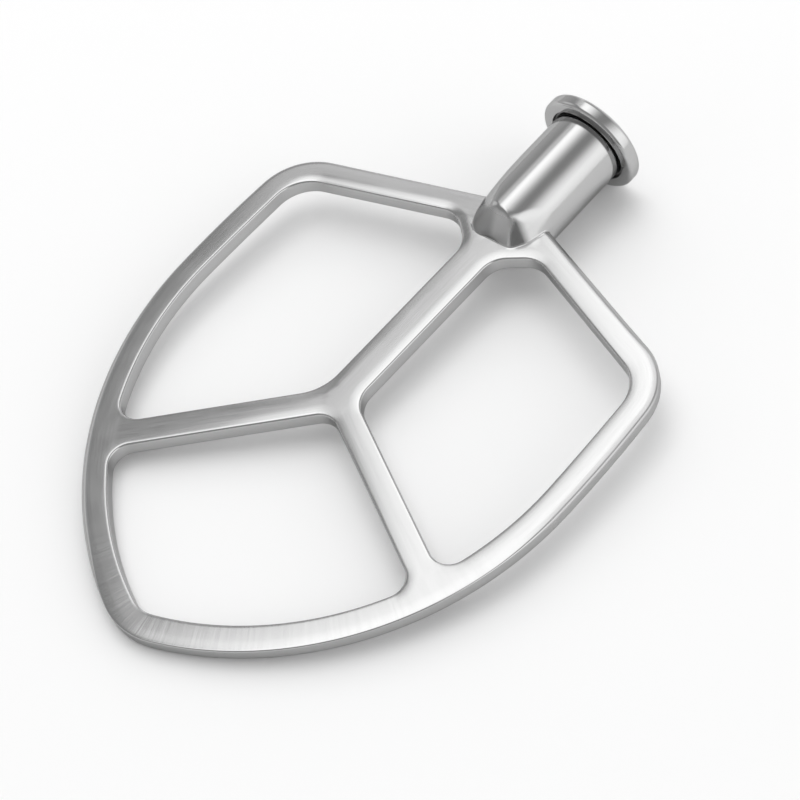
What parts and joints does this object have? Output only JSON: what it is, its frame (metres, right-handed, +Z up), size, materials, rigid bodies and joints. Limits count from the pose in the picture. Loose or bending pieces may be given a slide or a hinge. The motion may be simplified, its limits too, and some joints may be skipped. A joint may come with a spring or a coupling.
{
  "type": "stand mixer flat beater",
  "caption": "Flat stainless steel beater for a stand mixer: a shield-shaped frame with a Y-shaped web, a round drive hub and a drip flange.",
  "frame": {"origin": "centre of the bounding box's footprint, on the surface that the beater lies on", "axes": "+Y towards the drive hub, +Z up, away from the surface; the beater lies on the flange's rim and the underside of its tip, pitched up 4.1 degrees towards the hub"},
  "size_m": [0.1376, 0.185, 0.0304],
  "materials": {
    "steel": "satin, brushed lengthways"
  },
  "bodies": {
    "root": {"flat_beater": "steel"}
  },
  "joints": []
}
